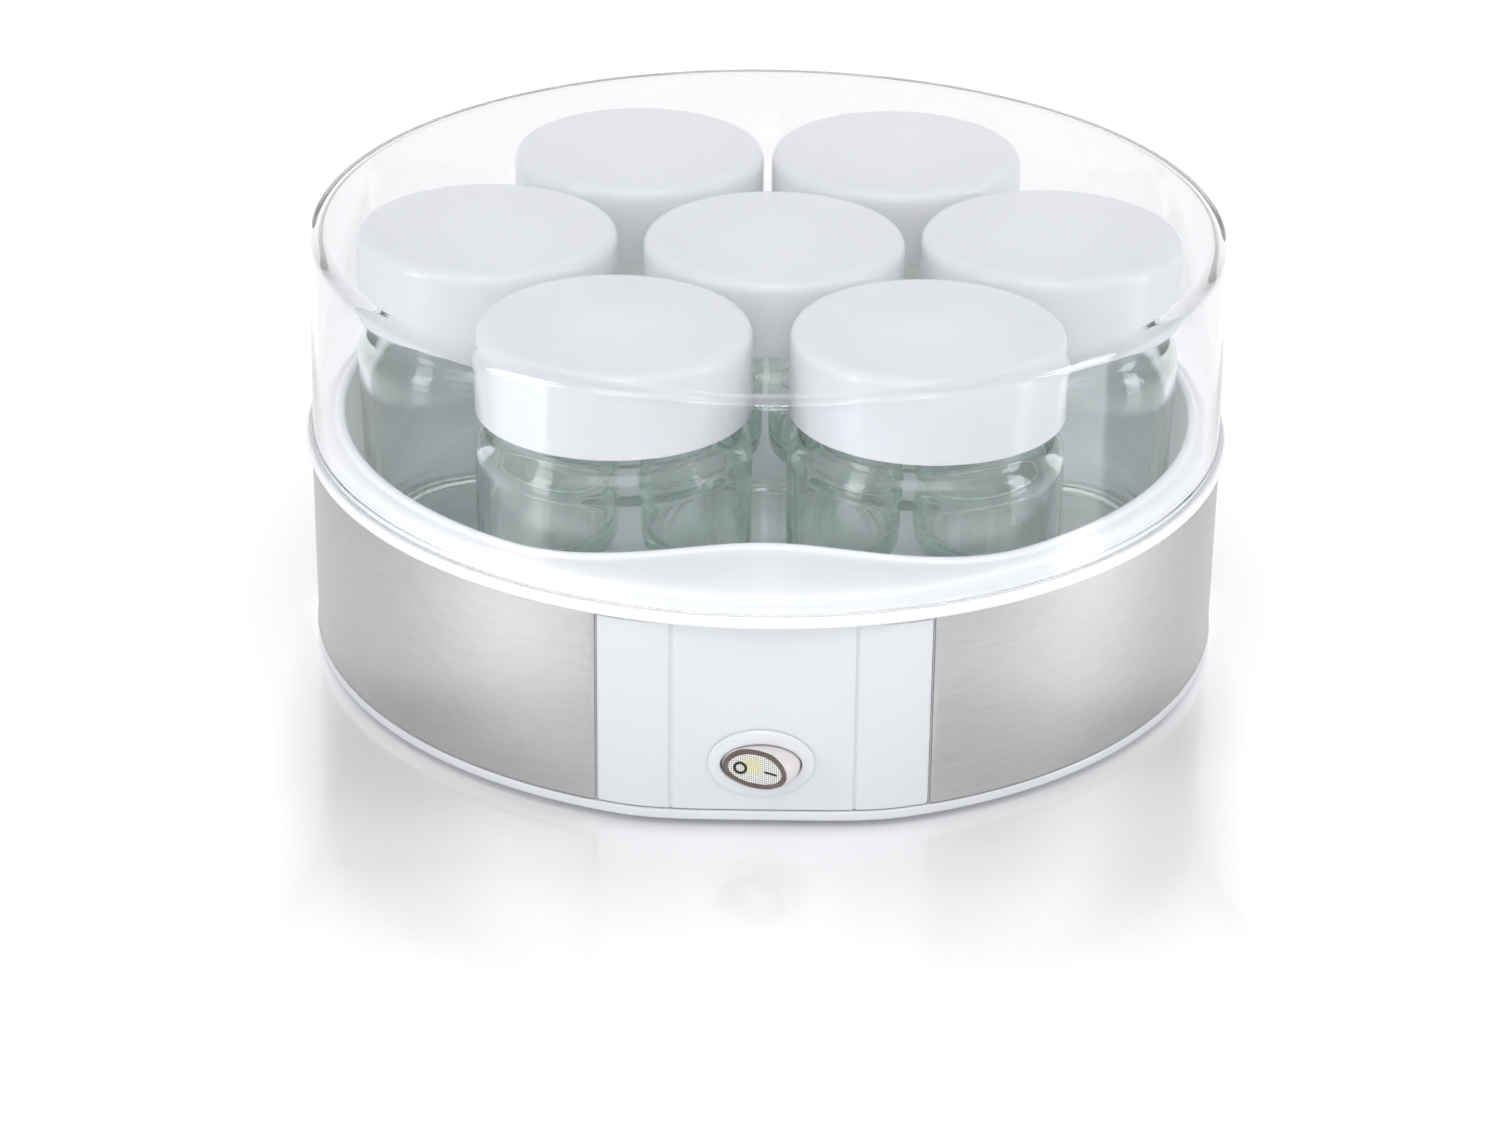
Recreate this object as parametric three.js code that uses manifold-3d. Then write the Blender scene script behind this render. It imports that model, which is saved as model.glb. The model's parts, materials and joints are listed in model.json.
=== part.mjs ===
// A round yogurt maker for seven jars: a low heated base with a well, a clear domed cover, glass jars
// with push-on lids, and a rocker switch on the flat at the front.
// Millimetres, +Z up, front at -Y, and the surface that the feet stand on is z = 0.

import * as THREE from 'three';
import { mergeVertices } from 'three/addons/utils/BufferGeometryUtils.js';
import Module from 'manifold-3d';

// ---------------------------------------------------------------- driving dimensions

const GAP = 0.3; // running clearance between neighbouring pieces
const ROUND_STEPS = 56; // facets round the base and the cover
const JAR_STEPS = 20; // facets round a jar and its lid
const SMALL_STEPS = 12; // facets round a screw, foot or boss

const FOOT_HEIGHT = 2; // gap between the surface and the base's lower lip
const LIP_TOP = FOOT_HEIGHT + 2.6;
const WALL_TOP = 55.5; // top of the outer wall, the steel band and the front panel
const RIM_LOW = WALL_TOP + GAP; // underside of the white rim
const RIM_LEDGE = 58.4; // the ledge that the cover stands on
const SHELF_TOP = 65; // crest of the shelf round the well
const FLOOR_TOP = 22; // the well's floor, where the jars stand
const FLOOR_LOW = 19.8;

const RIM_RADIUS = 120;
const LIP_RADIUS = 119;
const BAND_RADIUS = 118.6; // outside of the steel band and of the front panel
const BAND_THICKNESS = 0.5;
const WALL_RADIUS = 117.7; // outer wall behind the band
const SEAT_RADIUS = 116.6; // outer wall behind the panel
const WALL_INNER_RADIUS = 115;
const WELL_RADIUS = 109.8; // at the well's mouth
const WELL_DRAFT = 0.6; // how much narrower the well is at its floor
const WELL_WALL = 2.2;
const FLANGE_INNER_RADIUS = 108; // inward flange that the bottom cover is screwed up against

const BULGE_DEPTH = 19.6; // how far the well's wall comes in at the front, to make room for the switch
const BULGE_HALF_ANGLE = THREE.MathUtils.degToRad(34);

const PANEL_THICKNESS = 1.6;
const PANEL_HALF_WIDTH = 40.2;
const FLAT_HALF_WIDTH = 25.5; // half the flat part of the base's front
const CORNER_EASE = 6.5; // taken off each side of the flat's corners, to ease them
const GROOVE_X = 22.3; // the panel has a groove near each end of its flat
const GROOVE_WIDTH = 0.9;
const GROOVE_DEPTH = 0.6;
const BAND_END = PANEL_HALF_WIDTH + 0.7; // half the band's opening at the panel

const COVER_TOP = 114;
const COVER_WALL = 2;

const JAR_LOW = FLOOR_TOP + GAP;
const JAR_RADIUS = 34;
const JAR_WALL = 2.3;
const JAR_SHOULDER = 79.5; // where the body starts to narrow
const JAR_NECK_RADIUS = 30;
const JAR_TOP = 105.9;
const LID_RADIUS = 33.8;
const LID_WALL = 1.6;
const LID_LOW = 87.9;
const LID_TOP = JAR_TOP + GAP + 1.8;

// The middles of the seven jars, standing a little loosely in the well.
const JARS = {
  back_left: [-35, 63],
  back_right: [34.5, 63],
  middle_left: [-72.5, 2],
  centre: [1.5, -1],
  middle_right: [73, 2.5],
  front_left: [-37.5, -61],
  front_right: [39, -61.5],
};

const SWITCH_X = -0.5;
const SWITCH_Z = 18;
const BEZEL = [12.9, 9.1]; // half width and half height of the oval bezel
const BEZEL_SLEEVE = [11, 6.9];
const SWITCH_OPENING = [9.85, 5.6];
const BEZEL_RISE = 1.5; // how far the bezel stands out of the flat
const ROCKER_RADIUS = 9.6; // the rocker's ends, about its pivot
const ROCKER_HALF_HEIGHT = 5.25;
const ROCKER_FACE = 5; // the face's ends, in front of the pivot
const ROCKER_BACK = 3.2;
const ROCKER_DISH = 1.3; // the face is dished by this much in the middle
const ROCKER_TILT = THREE.MathUtils.degToRad(20); // either side of the middle
const DIFFUSER = [7.2, 3.85];
const TRUNNION_RADIUS = 0.8;

const HOUSING_SCREW_RADIUS = 98;
const HOUSING_SCREW_BEARINGS = [65, 155, 205, 295];
const FOOT_RADIUS = 101;
const FOOT_BEARINGS = [40, 140, 220, 320];
const PLATE_SCREW_RADIUS = 63;
const PLATE_SCREW_BEARINGS = [60, 180, 300];
const PLATE_Z = [17.8, 19.4];
const HEATER_Z = 16.2;
const HEATER_LOOPS = [50, 76]; // inner and outer radius of the hairpin
const HEATER_CORD_RADIUS = 1.2;
const PAD_Z = [12.4, 14.6];
const PLATE_BOSS_LOW = 11.9;
const GLAND_Z = 13.5;
const LEAD_RADIUS = 0.8;

// Distances from the axis to the flat at the front, for each layer of the base.
const flatOf = (radius) => Math.sqrt(BAND_RADIUS ** 2 - FLAT_HALF_WIDTH ** 2) - (BAND_RADIUS - radius);
const PANEL_FACE = -flatOf(BAND_RADIUS);
const PIVOT_Y = PANEL_FACE;

// ---------------------------------------------------------------- solids

const wasm = await Module();
wasm.setup();

function solidOf(geometry) {
  const bare = geometry.clone();
  bare.deleteAttribute('normal');
  bare.deleteAttribute('uv');
  const merged = mergeVertices(bare, 1e-4);
  return new wasm.Manifold(
    new wasm.Mesh({
      numProp: 3,
      vertProperties: merged.attributes.position.array,
      triVerts: new Uint32Array(merged.index.array),
    }),
  );
}

function geometryOf(solid) {
  const mesh = solid.getMesh();
  const geometry = new THREE.BufferGeometry();
  geometry.setAttribute('position', new THREE.BufferAttribute(mesh.vertProperties, 3));
  geometry.setIndex(new THREE.BufferAttribute(mesh.triVerts, 1));
  return geometry;
}

const joined = (...geometries) =>
  geometryOf(geometries.map(solidOf).reduce((whole, piece) => whole.add(piece)));

const cut = (geometry, ...tools) =>
  geometryOf(tools.map(solidOf).reduce((rest, tool) => rest.subtract(tool), solidOf(geometry)));

const common = (a, b) => geometryOf(solidOf(a).intersect(solidOf(b)));

// A point in plan, from a radius and a bearing: 0 is the front, and 90 degrees is the right-hand side.
const atBearing = (radius, bearing) =>
  new THREE.Vector2(radius * Math.sin(bearing), -radius * Math.cos(bearing));

const arc = (radius, from, to, steps) =>
  Array.from({ length: steps + 1 }, (_, i) => atBearing(radius, from + ((to - from) * i) / steps));

const ellipse = ([a, b], steps = 28) =>
  Array.from({ length: steps }, (_, i) => {
    const t = (2 * Math.PI * i) / steps;
    return new THREE.Vector2(a * Math.cos(t), b * Math.sin(t));
  });

const rectangle = (halfWidth, halfHeight) => [
  new THREE.Vector2(-halfWidth, -halfHeight),
  new THREE.Vector2(halfWidth, -halfHeight),
  new THREE.Vector2(halfWidth, halfHeight),
  new THREE.Vector2(-halfWidth, halfHeight),
];

// One eased corner of the flat at the front, from the flat round to the circle: side is 1 or -1.
function easedCorner(radius, side) {
  const half = Math.acos(flatOf(radius) / radius);
  const corner = atBearing(radius, side * half);
  const onFlat = new THREE.Vector2(corner.x - side * CORNER_EASE, corner.y);
  const onCircle = atBearing(radius, side * (half + CORNER_EASE / radius));
  const between = onFlat.clone().lerp(onCircle, 0.5).lerp(corner, 0.5);
  return [onFlat, between, onCircle];
}

// A circle with the chord cut off that the flat at the front makes.
function outlineWithFlat(radius) {
  const half = Math.acos(flatOf(radius) / radius) + CORNER_EASE / radius;
  return [
    ...easedCorner(radius, 1),
    ...arc(radius, half, 2 * Math.PI - half, ROUND_STEPS).slice(1, -1),
    ...easedCorner(radius, -1).reverse(),
  ];
}

// An upright prism over a plan outline, with holes.
function upright(outline, low, high, holes = []) {
  const shape = new THREE.Shape(outline);
  shape.holes = holes.map((hole) => new THREE.Path(hole));
  const prism = new THREE.ExtrudeGeometry(shape, { depth: high - low, bevelEnabled: false });
  return prism.translate(0, 0, low);
}

// A prism that runs from front to back, over an outline in X and Z about a middle.
function facing(outline, front, back, x = SWITCH_X, z = SWITCH_Z) {
  const prism = new THREE.ExtrudeGeometry(new THREE.Shape(outline), {
    depth: back - front,
    bevelEnabled: false,
  });
  return prism.translate(0, 0, -back).rotateX(Math.PI / 2).translate(x, 0, z);
}

// A solid of revolution about Z, from a profile of [radius, height] that runs anticlockwise.
function turned(profile, steps = SMALL_STEPS) {
  const points = profile.map(([r, z]) => new THREE.Vector2(r, z));
  return new THREE.LatheGeometry(points, steps).rotateX(Math.PI / 2);
}

const peg = (radius, low, high, steps = SMALL_STEPS) =>
  turned([[0, low], [radius, low], [radius, high], [0, high]], steps);

const placed = (geometry, radius, bearing) => {
  const at = atBearing(radius, THREE.MathUtils.degToRad(bearing));
  return geometry.clone().translate(at.x, at.y, 0);
};

const onHousingScrews = (shape) =>
  HOUSING_SCREW_BEARINGS.map((b) => placed(shape, HOUSING_SCREW_RADIUS, b));

const onPlateScrews = (shape) =>
  PLATE_SCREW_BEARINGS.map((b) => placed(shape, PLATE_SCREW_RADIUS, b));

// A round lead or cord of a given radius along a smooth curve.
function cordAlong(curve, radius, steps) {
  const section = new THREE.Shape(ellipse([radius, radius], 6));
  return new THREE.ExtrudeGeometry(section, { steps, extrudePath: curve, bevelEnabled: false });
}

// ---------------------------------------------------------------- materials

const WHITE = { color: 0xf0f2f5, roughness: 0.3, metalness: 0 };
const STEEL = { color: 0xb9b9b6, roughness: 0.35, metalness: 1 };
const ZINC = { color: 0xa8abb0, roughness: 0.45, metalness: 1 };
const ALUMINIUM = { color: 0xc8cacc, roughness: 0.5, metalness: 1 };
const BRASS = { color: 0xc2a25a, roughness: 0.4, metalness: 1 };
const RUBBER = { color: 0x9a9da0, roughness: 0.85, metalness: 0 };
const BLACK = { color: 0x1c1c1e, roughness: 0.5, metalness: 0 };
const GLASS = { color: 0xb9c8c2, roughness: 0.05, metalness: 0 };
const CLEAR = { color: 0xe8edf2, roughness: 0.05, metalness: 0 };
const SMOKED = { color: 0xa79a94, roughness: 0.2, metalness: 0 };
const DIFFUSE = { color: 0xdcdcd6, roughness: 0.4, metalness: 0 };
const FELT = { color: 0xd8d2c2, roughness: 0.95, metalness: 0 };
const SILICONE = { color: 0xb24a3a, roughness: 0.7, metalness: 0 };
const LEAD_BROWN = { color: 0x6a4227, roughness: 0.6, metalness: 0 };
const LEAD_BLUE = { color: 0x2f5fa8, roughness: 0.6, metalness: 0 };

const yogurtMaker = new THREE.Group();

function piece(name, geometry, look, group = yogurtMaker) {
  const mesh = new THREE.Mesh(geometry, new THREE.MeshStandardMaterial(look));
  mesh.name = name;
  group.add(mesh);
  return mesh;
}

// ---------------------------------------------------------------- base

// How far the front bulge moves a point of full share, at a bearing: a raised cosine.
function bulge(bearing) {
  const off = Math.min(bearing, 2 * Math.PI - bearing, BULGE_HALF_ANGLE);
  return (BULGE_DEPTH * (1 + Math.cos((Math.PI * off) / BULGE_HALF_ANGLE))) / 2;
}

// The rim, the shelf and the well in one moulding. Each row is radius, height and share of the bulge.
function upperHousing() {
  const wellFoot = WELL_RADIUS - WELL_DRAFT;
  const rows = [
    [0, FLOOR_LOW, 0],
    [wellFoot - 1.7, FLOOR_LOW, 1],
    [wellFoot + 1, FLOOR_LOW + 1.6, 1],
    [WELL_RADIUS + WELL_WALL, SHELF_TOP - 4.6, 1],
    [WELL_RADIUS + 2.8, SHELF_TOP - 2.8, 0.85],
    [WELL_RADIUS + 3.2, SHELF_TOP - 3, 0.4],
    [114.4, SHELF_TOP - 5, 0],
    [114.6, RIM_LOW, 0],
    [RIM_RADIUS - 0.7, RIM_LOW, 0],
    [RIM_RADIUS - 0.1, RIM_LOW + 0.8, 0],
    [RIM_RADIUS, RIM_LOW + 1.6, 0],
    [RIM_RADIUS - 0.4, RIM_LEDGE + 0.1, 0],
    [RIM_RADIUS - 0.95, RIM_LEDGE + 0.5, 0],
    [RIM_RADIUS - 1.05, RIM_LEDGE, 0],
    [116.2, RIM_LEDGE, 0],
    [115.9, SHELF_TOP - 4, 0],
    [115, SHELF_TOP - 2, 0.05],
    [WELL_RADIUS + 2.8, SHELF_TOP - 0.6, 0.45],
    [WELL_RADIUS + 1.6, SHELF_TOP, 0.85],
    [WELL_RADIUS + 0.6, SHELF_TOP - 0.4, 1],
    [WELL_RADIUS, SHELF_TOP - 1.4, 1],
    [wellFoot, FLOOR_TOP + 2.5, 1],
    [wellFoot - 1.6, FLOOR_TOP + 0.4, 1],
    [wellFoot - 3.4, FLOOR_TOP, 1],
    [0, FLOOR_TOP, 0],
  ];
  const shell = turned(rows, ROUND_STEPS);
  const position = shell.attributes.position;
  for (let i = 0; i < position.count; i++) {
    const share = rows[i % rows.length][2];
    const step = Math.floor(i / rows.length) % ROUND_STEPS;
    const radius = Math.hypot(position.getX(i), position.getY(i));
    const keep = radius > 0 ? 1 - (share * bulge((2 * Math.PI * step) / ROUND_STEPS)) / radius : 1;
    position.setXY(i, position.getX(i) * keep, position.getY(i) * keep);
  }
  const rooted = FLOOR_LOW + 0.7;
  const bosses = [
    ...onHousingScrews(peg(4.2, 8.6, rooted)),
    ...onPlateScrews(peg(3, PLATE_BOSS_LOW, rooted)),
  ];
  const pilots = [...onHousingScrews(peg(1.9, 8, 18)), ...onPlateScrews(peg(1.15, 11, 18))];
  return cut(joined(shell, ...bosses), ...pilots);
}

// The outer wall, with a seat for the front panel, a lower lip and an inward flange.
function outerHousing() {
  const seatEnd = Math.asin((PANEL_HALF_WIDTH + 0.4) / WALL_RADIUS);
  const flatEnd = Math.acos(flatOf(SEAT_RADIUS) / SEAT_RADIUS);
  const wall = [
    ...arc(WALL_RADIUS, seatEnd, 2 * Math.PI - seatEnd, ROUND_STEPS),
    ...arc(SEAT_RADIUS, -seatEnd, -flatEnd, 3),
    ...arc(SEAT_RADIUS, flatEnd, seatEnd, 3),
  ];
  const inside = outlineWithFlat(WALL_INNER_RADIUS);
  const flangeHole = arc(FLANGE_INNER_RADIUS, 0, 2 * Math.PI, ROUND_STEPS).slice(1);
  const shell = joined(
    upright(wall, FOOT_HEIGHT, WALL_TOP, [inside]),
    upright(outlineWithFlat(LIP_RADIUS), FOOT_HEIGHT, LIP_TOP, [inside]),
    upright(outlineWithFlat(WALL_INNER_RADIUS + 0.5), LIP_TOP + GAP, LIP_TOP + 1.9, [flangeHole]),
  );
  const switchHole = facing(rectangle(11.6, 7.9), -WALL_RADIUS, -WALL_INNER_RADIUS + 6);
  return cut(shell, switchHole, glandHole());
}

const glandHole = () => peg(5.3, 110, 122).rotateX(-Math.PI / 2).translate(0, 0, GLAND_Z);

// The brushed band wraps the base from one side of the panel round the back to the other.
function steelBand() {
  const end = Math.asin(BAND_END / BAND_RADIUS);
  const outline = [
    ...arc(BAND_RADIUS, end, 2 * Math.PI - end, ROUND_STEPS),
    ...arc(BAND_RADIUS - BAND_THICKNESS, 2 * Math.PI - end, end, ROUND_STEPS),
  ];
  return cut(upright(outline, LIP_TOP + GAP, WALL_TOP), glandHole());
}

// The front panel is flat between two grooves and follows the band's curve outside them.
function frontPanel() {
  const end = Math.asin(PANEL_HALF_WIDTH / BAND_RADIUS);
  const eased = Math.asin(FLAT_HALF_WIDTH / BAND_RADIUS) + CORNER_EASE / BAND_RADIUS;
  const inner = BAND_RADIUS - PANEL_THICKNESS;
  const innerFlat = Math.acos(flatOf(inner) / inner);
  const outline = [
    ...arc(BAND_RADIUS, -end, -eased, 2),
    ...easedCorner(BAND_RADIUS, -1).reverse().slice(1),
    ...easedCorner(BAND_RADIUS, 1).slice(0, -1),
    ...arc(BAND_RADIUS, eased, end, 2),
    ...arc(inner, end, innerFlat, 3),
    ...arc(inner, -innerFlat, -end, 3),
  ];
  const groove = new THREE.Shape([
    new THREE.Vector2(-GROOVE_WIDTH / 2, -GROOVE_DEPTH),
    new THREE.Vector2(GROOVE_WIDTH / 2, -GROOVE_DEPTH),
    new THREE.Vector2(0, GROOVE_DEPTH),
  ]);
  const grooves = [-GROOVE_X, GROOVE_X].map((x) =>
    new THREE.ExtrudeGeometry(groove, { depth: WALL_TOP, bevelEnabled: false }).translate(x, PANEL_FACE, 0));
  const [a, b] = BEZEL_SLEEVE;
  const hole = facing(ellipse([a + GAP, b + GAP]), -RIM_RADIUS, PANEL_FACE + 6);
  return cut(upright(outline, LIP_TOP + GAP, WALL_TOP - 0.4), hole, ...grooves);
}

// The bottom cover is a flat disc with a raised cup for each housing screw.
function bottomCover() {
  const low = FOOT_HEIGHT + 0.6;
  const high = LIP_TOP;
  const onFeet = (shape) => FOOT_BEARINGS.map((b) => placed(shape, FOOT_RADIUS, b));
  const disc = upright(outlineWithFlat(WALL_INNER_RADIUS - 0.4), low, high);
  return cut(
    joined(disc, ...onHousingScrews(peg(5.4, low, 8.3))),
    ...onHousingScrews(peg(4, low - 1, 6.7)),
    ...onHousingScrews(peg(2, low - 1, 9)),
    ...onFeet(peg(3, low - 1, high + 1)),
  );
}

// A push-in foot: a pad under the cover, a stem through it, and a barb over it.
function foot() {
  const under = FOOT_HEIGHT + GAP;
  const over = LIP_TOP + GAP;
  return turned([
    [0, 0], [7.2, 0], [8, 0.6], [8, under], [2.6, under],
    [2.6, over], [3.6, over], [2.2, over + 1.6], [0, over + 1.6],
  ]);
}

// A washer-head or pan-head screw, head down.
const screw = (headRadius, shankRadius, headLow, headHigh, tip) =>
  turned([
    [0, headLow], [headRadius * 0.8, headLow], [headRadius, headLow + 0.6], [headRadius, headHigh],
    [shankRadius, headHigh], [shankRadius, tip - 1], [0, tip],
  ]);

// The gland that the mains lead would come out of, at the back.
function cordGland() {
  const bore = 3.3;
  const inside = 4.9;
  const profile = [
    [bore, 113.3], [6.4, 113.3], [6.4, 114.5], [inside, 114.5], [inside, BAND_RADIUS + 0.4],
    [7, BAND_RADIUS + 0.4], [7, 120.4], [4.8, 123.5], [bore, 123.5], [bore, 113.3],
  ];
  return turned(profile).rotateX(-Math.PI / 2).translate(0, 0, GLAND_Z);
}

piece('upper_housing', upperHousing(), WHITE);
piece('outer_housing', outerHousing(), WHITE);
piece('steel_band', steelBand(), STEEL);
piece('front_panel', frontPanel(), WHITE);
piece('bottom_cover', bottomCover(), WHITE);
piece('cord_gland', cordGland(), RUBBER);
FOOT_BEARINGS.forEach((b, i) => piece(`foot_${i + 1}`, placed(foot(), FOOT_RADIUS, b), RUBBER));
HOUSING_SCREW_BEARINGS.forEach((b, i) =>
  piece(`housing_screw_${i + 1}`, placed(screw(3.4, 1.5, 4.2, 6.4, 17), HOUSING_SCREW_RADIUS, b), ZINC));

// ---------------------------------------------------------------- heater

// A disc with clearance holes for the three plate bosses.
function heaterDisc(radius, [low, high], ...tools) {
  return cut(peg(radius, low, high, 48), ...onPlateScrews(peg(3.4, low - 1, high + 1)), ...tools);
}

// The heating cord is one hairpin: an outer loop, a turn, and an inner loop back.
function heatingCord() {
  const [inner, outer] = HEATER_LOOPS;
  const from = THREE.MathUtils.degToRad(15);
  const to = THREE.MathUtils.degToRad(330);
  const middle = atBearing((inner + outer) / 2, to);
  const half = (outer - inner) / 2;
  const turnSteps = 5;
  const turn = Array.from({ length: turnSteps }, (_, i) => {
    const along = (Math.PI * (i + 1)) / (turnSteps + 1);
    const out = atBearing(half * Math.cos(along), to);
    const on = atBearing(half * Math.sin(along), to + Math.PI / 2);
    return middle.clone().add(out).add(on);
  });
  const route = [...arc(outer, from, to, 18), ...turn, ...arc(inner, to, from, 14)];
  const curve = new THREE.CatmullRomCurve3(route.map((p) => new THREE.Vector3(p.x, p.y, HEATER_Z)));
  return cordAlong(curve, HEATER_CORD_RADIUS, 60);
}

const padSlot = upright(rectangle(11, 30), PAD_Z[0] - 1, PAD_Z[1] + 1).translate(0, -68, 0);
const FUSE_Y = -63;
const FUSE_HALF_LENGTH = 6;

function thermalFuse() {
  const profile = [
    [0, -FUSE_HALF_LENGTH], [1.2, -FUSE_HALF_LENGTH], [1.6, -FUSE_HALF_LENGTH + 0.6],
    [1.6, FUSE_HALF_LENGTH - 0.6], [1.2, FUSE_HALF_LENGTH], [0, FUSE_HALF_LENGTH],
  ];
  return turned(profile, 12).rotateY(Math.PI / 2).translate(0, FUSE_Y, HEATER_Z - 0.2);
}

piece('heating_plate', heaterDisc(87, PLATE_Z), ALUMINIUM);
piece('heating_cord', heatingCord(), SILICONE);
piece('insulation_pad', heaterDisc(84, PAD_Z, padSlot), FELT);
piece('thermal_fuse', thermalFuse(), ZINC);
PLATE_SCREW_BEARINGS.forEach((b, i) =>
  piece(`plate_screw_${i + 1}`, placed(screw(4.6, 0.8, 10.2, 11.6, 17), PLATE_SCREW_RADIUS, b), ZINC));

// ---------------------------------------------------------------- switch

// The oval bezel: a flange on the panel, a sleeve through it, and holes for the rocker's trunnions.
function switchBezel() {
  const front = PANEL_FACE - BEZEL_RISE;
  const flange = facing(ellipse(BEZEL), front, PANEL_FACE - GAP);
  const sleeve = facing(ellipse(BEZEL_SLEEVE), front, PANEL_FACE + 2.1);
  const opening = facing(ellipse(SWITCH_OPENING), front - 1, PANEL_FACE + 4);
  const trunnionHole = peg(TRUNNION_RADIUS + GAP, SWITCH_Z - 8, SWITCH_Z + 8);
  return cut(joined(flange, sleeve), opening, trunnionHole.translate(SWITCH_X, PIVOT_Y, 0));
}

// The switch's black box, with a pocket for the back of the rocker.
function switchBody() {
  const front = PANEL_FACE + 2.4;
  const box = facing(rectangle(11.2, 7.3), front, PANEL_FACE + 16.6);
  return cut(box, facing(rectangle(10.3, 6.1), front - 1, PANEL_FACE + 7.6));
}

// One oval section of the rocker at a distance in front of its pivot: its ends keep to a circle.
const rockerSection = (ahead, steps) =>
  ellipse([Math.sqrt(ROCKER_RADIUS ** 2 - ahead ** 2), ROCKER_HALF_HEIGHT], steps).map(
    (p) => new THREE.Vector3(p.x, -ahead, p.y),
  );

// The rocker's oval body, lofted from back to front, before its face is dished.
function rockerBlank() {
  const steps = 24;
  const distances = [-ROCKER_BACK, -1.6, 0, 1.6, 3.3, ROCKER_FACE];
  const layers = distances.map((ahead) => rockerSection(ahead, steps));
  const vertices = layers.flat();
  const index = [];
  layers.slice(1).forEach((_, k) => {
    for (let i = 0; i < steps; i++) {
      const a = k * steps + i;
      const b = k * steps + ((i + 1) % steps);
      index.push(a, b, a + steps, b, b + steps, a + steps);
    }
  });
  const last = (layers.length - 1) * steps;
  for (let i = 1; i < steps - 1; i++) {
    index.push(0, i + 1, i);
    index.push(last, last + i, last + i + 1);
  }
  return new THREE.BufferGeometry().setFromPoints(vertices).setIndex(index);
}

// An upright drum whose near side lies along the rocker's dished face, sunk by a depth.
function dishDrum(sunk) {
  const chord = Math.sqrt(ROCKER_RADIUS ** 2 - ROCKER_FACE ** 2);
  const radius = (chord ** 2 + ROCKER_DISH ** 2) / (2 * ROCKER_DISH);
  const middle = ROCKER_FACE - ROCKER_DISH + radius;
  return peg(radius + sunk, -9, 9, 48).translate(0, -middle, 0);
}

const around = ([a, b], more) => [a + more, b + more];

function rocker() {
  const recess = common(facing(ellipse(around(DIFFUSER, 0.2), 28), -9, 9, 0, 0), dishDrum(1.2));
  const lampPocket = facing(rectangle(3.4, 2.3), -1.6, 6, 0, 0);
  const trunnions = peg(TRUNNION_RADIUS, -6.5, 6.5, 12);
  return cut(joined(rockerBlank(), trunnions), dishDrum(0), recess, lampPocket);
}

const rockerDiffuser = () =>
  cut(common(facing(ellipse(DIFFUSER, 28), -9, 9, 0, 0), dishDrum(1)), dishDrum(0.15));

const indicatorLamp = () =>
  turned([[0, -2.6], [1.4, -2.6], [1.7, -1.8], [1.7, 1.8], [1, 2.8], [0, 2.8]], 12)
    .rotateY(Math.PI / 2)
    .translate(0, 0.6, 0);

const switchTerminal = () => facing(rectangle(0.4, 2.4), PANEL_FACE + 16.9, PANEL_FACE + 22.4);

piece('switch_bezel', switchBezel(), WHITE);
piece('switch_body', switchBody(), BLACK);
['live', 'load', 'lamp'].forEach((use, i) => {
  piece(`switch_terminal_${use}`, switchTerminal(), BRASS).position.x = 7 * (i - 1);
});

const tilted = new THREE.Group();
tilted.position.set(SWITCH_X, PIVOT_Y, SWITCH_Z);
tilted.rotation.z = -ROCKER_TILT;
yogurtMaker.add(tilted);
piece('rocker', rocker(), SMOKED, tilted);
piece('rocker_diffuser', rockerDiffuser(), DIFFUSE, tilted);
piece('indicator_lamp', indicatorLamp(), GLASS, tilted);

// ---------------------------------------------------------------- wiring

const TERMINAL_BLOCK = new THREE.Vector3(-22, 84, 7.6);
const BLOCK_FACE = TERMINAL_BLOCK.y - 5 - 2 * GAP;
const TERMINAL_END = PANEL_FACE + 22.4 + 2 * GAP;

// The terminal block: a bar with three screw domes.
function terminalBlock() {
  const domes = [-5, 0, 5].map((x) => peg(2, 0, 3.4, 12).translate(x, 0, 0));
  const bar = upright(rectangle(8, 5), -2.7, 1);
  return joined(bar, ...domes).translate(...TERMINAL_BLOCK.toArray());
}

function lead(points) {
  const curve = new THREE.CatmullRomCurve3(points.map((p) => new THREE.Vector3(...p)));
  return cordAlong(curve, LEAD_RADIUS, points.length * 3);
}

piece('terminal_block', terminalBlock(), BLACK);
piece('lead_live', lead([
  [-27, BLOCK_FACE, 7.2], [-29, 72, 7.2], [-48, 48, 7], [-60, 0, 7], [-50, -52, 7], [-24, -84, 8],
  [-9.5, -89, 13], [SWITCH_X - 7, TERMINAL_END, 17],
]), LEAD_BROWN);
piece('lead_load', lead([
  [SWITCH_X, TERMINAL_END, 17], [-1.5, -86, 15.6], [-7.5, -74, 15.2], [-9.6, -66, 15.8],
  [-FUSE_HALF_LENGTH - 2 * GAP, FUSE_Y, HEATER_Z - 0.2],
]), LEAD_BROWN);
piece('lead_heater', lead([
  [FUSE_HALF_LENGTH + 2 * GAP, FUSE_Y, HEATER_Z - 0.2], [9, -60, HEATER_Z], [8.6, -52, HEATER_Z],
  [12.5, -48.4, HEATER_Z],
]), LEAD_BROWN);
piece('lead_neutral', lead([
  [-17, BLOCK_FACE, 7.2], [-10, 72, 7.2], [40, 56, 7], [64, 0, 7], [50, -58, 7], [30, -86, 9],
  [21, -88, 13.6], [14.5, -81, 15.9], [14.5, -75.5, HEATER_Z], [19.2, -73.6, HEATER_Z],
]), LEAD_BLUE);
piece('lead_lamp', lead([
  [SWITCH_X + 7, TERMINAL_END, 17], [7.4, -89.5, 13.4], [13, -84, 8], [36, -52, 6.6], [50, 0, 6.6],
  [34, 42, 6.6], [-16, 64, 7], [-22, BLOCK_FACE, 7.2],
]), LEAD_BLUE);

// ---------------------------------------------------------------- cover, jars and lids

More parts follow.
